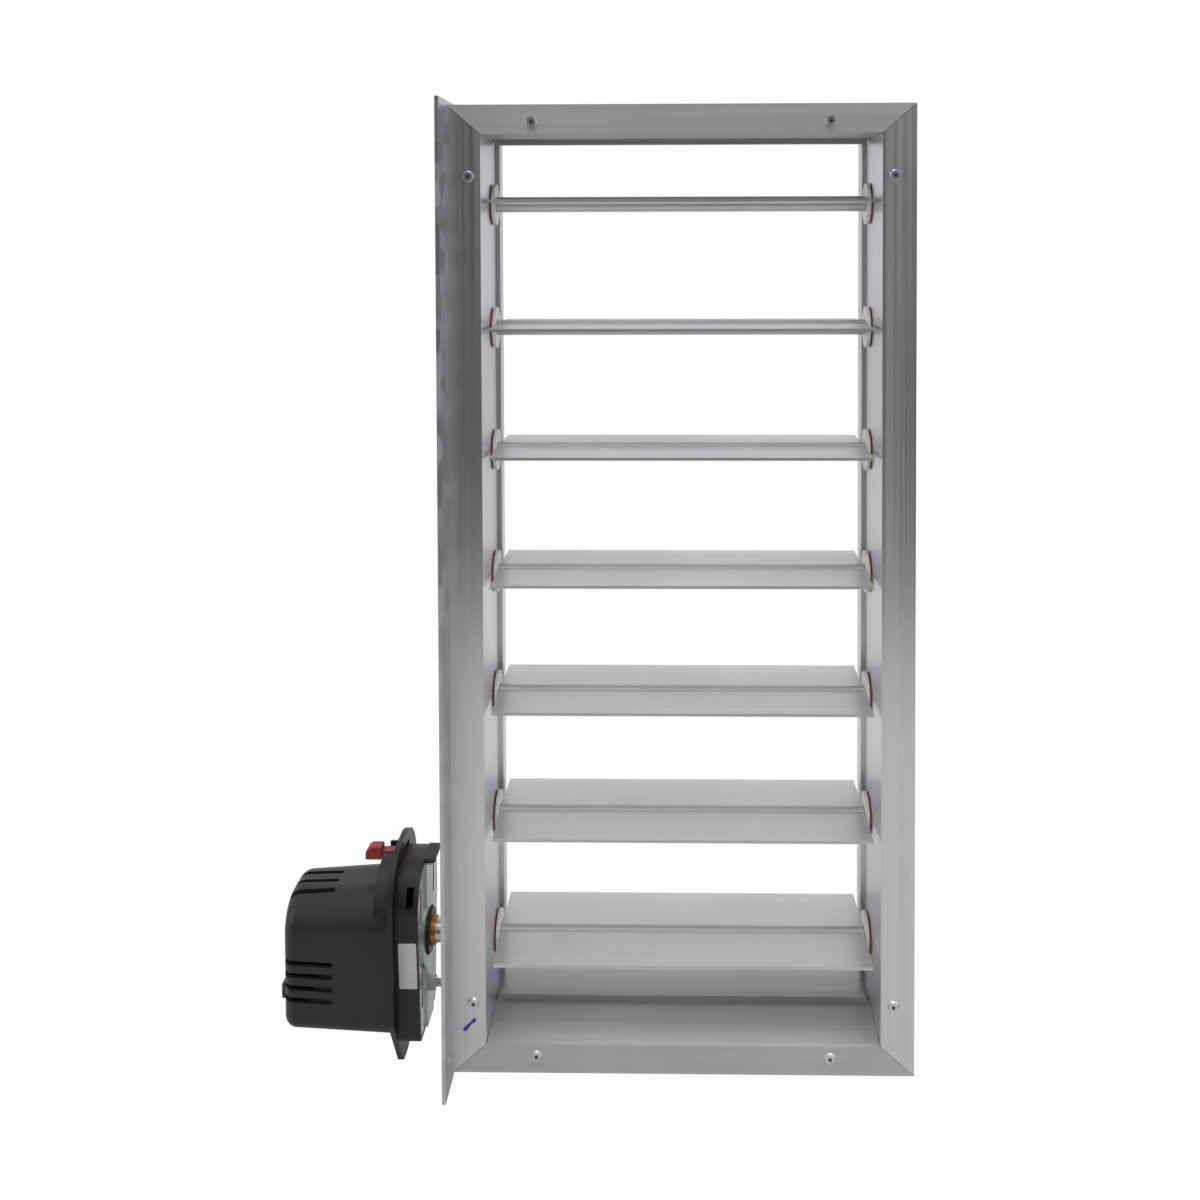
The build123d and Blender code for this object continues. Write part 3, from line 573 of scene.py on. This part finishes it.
# %% Floor
floor_mesh = bpy.data.meshes.new("floor")
floor_gap = 30 * MM
floor_z = cad_box[0][2] - floor_gap
reach = 6.0
floor_front = -0.87
near_tone, far_tone = (0.62, 0.62, 0.61), (0.84, 0.84, 0.84)
near_end, far_end = -0.05, 0.45
white_share = 0.97
floor_mesh.from_pydata([(-reach, floor_front, floor_z), (reach, floor_front, floor_z),
                        (reach, reach, floor_z), (-reach, reach, floor_z)], [], [(0, 1, 2, 3)])
floor = bpy.data.objects.new("floor", floor_mesh)
bpy.context.scene.collection.objects.link(floor)
floor_finish = bpy.data.materials.new("pale_floor")
floor_finish.use_nodes = True
floor_tree = floor_finish.node_tree
floor_tree.nodes.clear()
floor_paint = floor_tree.nodes.new("ShaderNodeBsdfDiffuse")
floor_split = floor_tree.nodes.new("ShaderNodeSeparateXYZ")
floor_tree.links.new(object_coordinates(floor_tree), floor_split.inputs["Vector"])
floor_depth = spread(floor_tree, floor_split.outputs["Y"], near_end, far_end, 0.0, 1.0)
floor_tone = blend_colour(floor_tree, floor_depth, near_tone, far_tone)
floor_tree.links.new(floor_tone, floor_paint.inputs["Color"])
floor_white = floor_tree.nodes.new("ShaderNodeEmission")
floor_white.inputs["Color"].default_value = (1, 1, 1, 1)
floor_path = floor_tree.nodes.new("ShaderNodeLightPath")
floor_share = floor_tree.nodes.new("ShaderNodeMath")
floor_share.operation = "MULTIPLY"
floor_share.inputs[1].default_value = white_share
floor_mix = floor_tree.nodes.new("ShaderNodeMixShader")
floor_out = floor_tree.nodes.new("ShaderNodeOutputMaterial")
floor_tree.links.new(floor_path.outputs["Is Camera Ray"], floor_share.inputs[0])
floor_tree.links.new(floor_share.outputs["Value"], floor_mix.inputs["Fac"])
floor_tree.links.new(floor_paint.outputs["BSDF"], floor_mix.inputs[1])
floor_tree.links.new(floor_white.outputs["Emission"], floor_mix.inputs[2])
floor_tree.links.new(floor_mix.outputs["Shader"], floor_out.inputs["Surface"])
floor_mesh.materials.append(floor_finish)
print("floor at", round(floor_z / MM, 1), "mm")

# %% The room around the part
side_tone, dim_tone, overhead_tone = (0.88, 0.88, 0.90), (0.025, 0.025, 0.028), (1.0, 1.0, 1.0)
dim_all, dim_none = -0.97, -0.60
overhead_none, overhead_all = 0.25, 0.9
world = bpy.data.worlds.new("studio")
bpy.context.scene.world = world
world.use_nodes = True
room = world.node_tree
room.nodes.clear()
where = room.nodes.new("ShaderNodeTexCoord")
split = room.nodes.new("ShaderNodeSeparateXYZ")
room.links.new(where.outputs["Generated"], split.inputs["Vector"])
towards_camera = spread(room, split.outputs["Y"], dim_all, dim_none, 1.0, 0.0)
room_tone = blend_colour(room, towards_camera, side_tone, dim_tone)
overhead = spread(room, split.outputs["Z"], overhead_none, overhead_all, 0.0, 1.0)
room_tone = blend_colour(room, overhead, room_tone, overhead_tone)
room_light = room.nodes.new("ShaderNodeBackground")
room.links.new(room_tone, room_light.inputs["Color"])
room_light.inputs["Strength"].default_value = 0.95
room_white = room.nodes.new("ShaderNodeBackground")
room_white.inputs["Color"].default_value = (1, 1, 1, 1)
room_path = room.nodes.new("ShaderNodeLightPath")
room_mix = room.nodes.new("ShaderNodeMixShader")
room_out = room.nodes.new("ShaderNodeOutputWorld")
room.links.new(room_path.outputs["Is Camera Ray"], room_mix.inputs["Fac"])
room.links.new(room_light.outputs["Background"], room_mix.inputs[1])
room.links.new(room_white.outputs["Background"], room_mix.inputs[2])
room.links.new(room_mix.outputs["Shader"], room_out.inputs["Surface"])


def soft_lamp(name, place, target, width, height, power):
    """A rectangular softbox that faces a point."""
    light = bpy.data.lights.new(name, "AREA")
    light.shape = "RECTANGLE"
    light.size = width
    light.size_y = height
    light.energy = power
    lamp = bpy.data.objects.new(name, light)
    lamp.location = place
    lamp.rotation_euler = (Vector(target) - Vector(place)).to_track_quat("-Z", "Y").to_euler()
    bpy.context.scene.collection.objects.link(lamp)
    return lamp


soft_lamp("top_softbox", (0.2, -0.2, 1.5), (0.1, 0.0, 0.0), width=1.2, height=1.0, power=9.0)
soft_lamp("left_softbox", (-1.3, -0.7, 0.5), (0.0, 0.0, -0.1), width=0.8, height=1.2, power=5.0)
soft_lamp("right_softbox", (1.5, -0.5, 0.3), (0.2, 0.0, -0.1), width=0.8, height=1.2, power=4.0)
print("room and lamps set")

# %% [markdown]
# ## Camera
# The photograph was taken from the height of the upper blades, square to the frame, with the lens shifted
# down. A camera that stays almost level keeps the stiles upright, and the shift brings the lower half into
# view.

# %% Camera
eye = Vector((117.01, -662.26, 190.09)) * MM
yaw, pitch, roll = 0.0172, -0.0283, -0.0028
forward = Vector((-math.sin(yaw) * math.cos(pitch), math.cos(yaw) * math.cos(pitch), math.sin(pitch)))
right = Vector((math.cos(yaw), math.sin(yaw), 0))
up = right.cross(forward)
right, up = right * math.cos(roll) + up * math.sin(roll), up * math.cos(roll) - right * math.sin(roll)
lens = bpy.data.cameras.new("camera")
lens.sensor_fit = "HORIZONTAL"
lens.sensor_width = 36.0
lens.lens = 36.181
lens.shift_x = -0.0439
lens.shift_y = -0.2813
lens.clip_start = 0.01
camera = bpy.data.objects.new("camera", lens)
camera.matrix_world = Matrix((
    (right.x, up.x, -forward.x, eye.x),
    (right.y, up.y, -forward.y, eye.y),
    (right.z, up.z, -forward.z, eye.z),
    (0, 0, 0, 1)))
bpy.context.scene.collection.objects.link(camera)
bpy.context.scene.camera = camera
bpy.context.scene.view_settings.view_transform = "Standard"
print("camera at", [round(v, 4) for v in eye])

# %% [markdown]
# ## Finish
# The view layer is updated at the end.

# %% Update the view layer
bpy.context.view_layer.update()
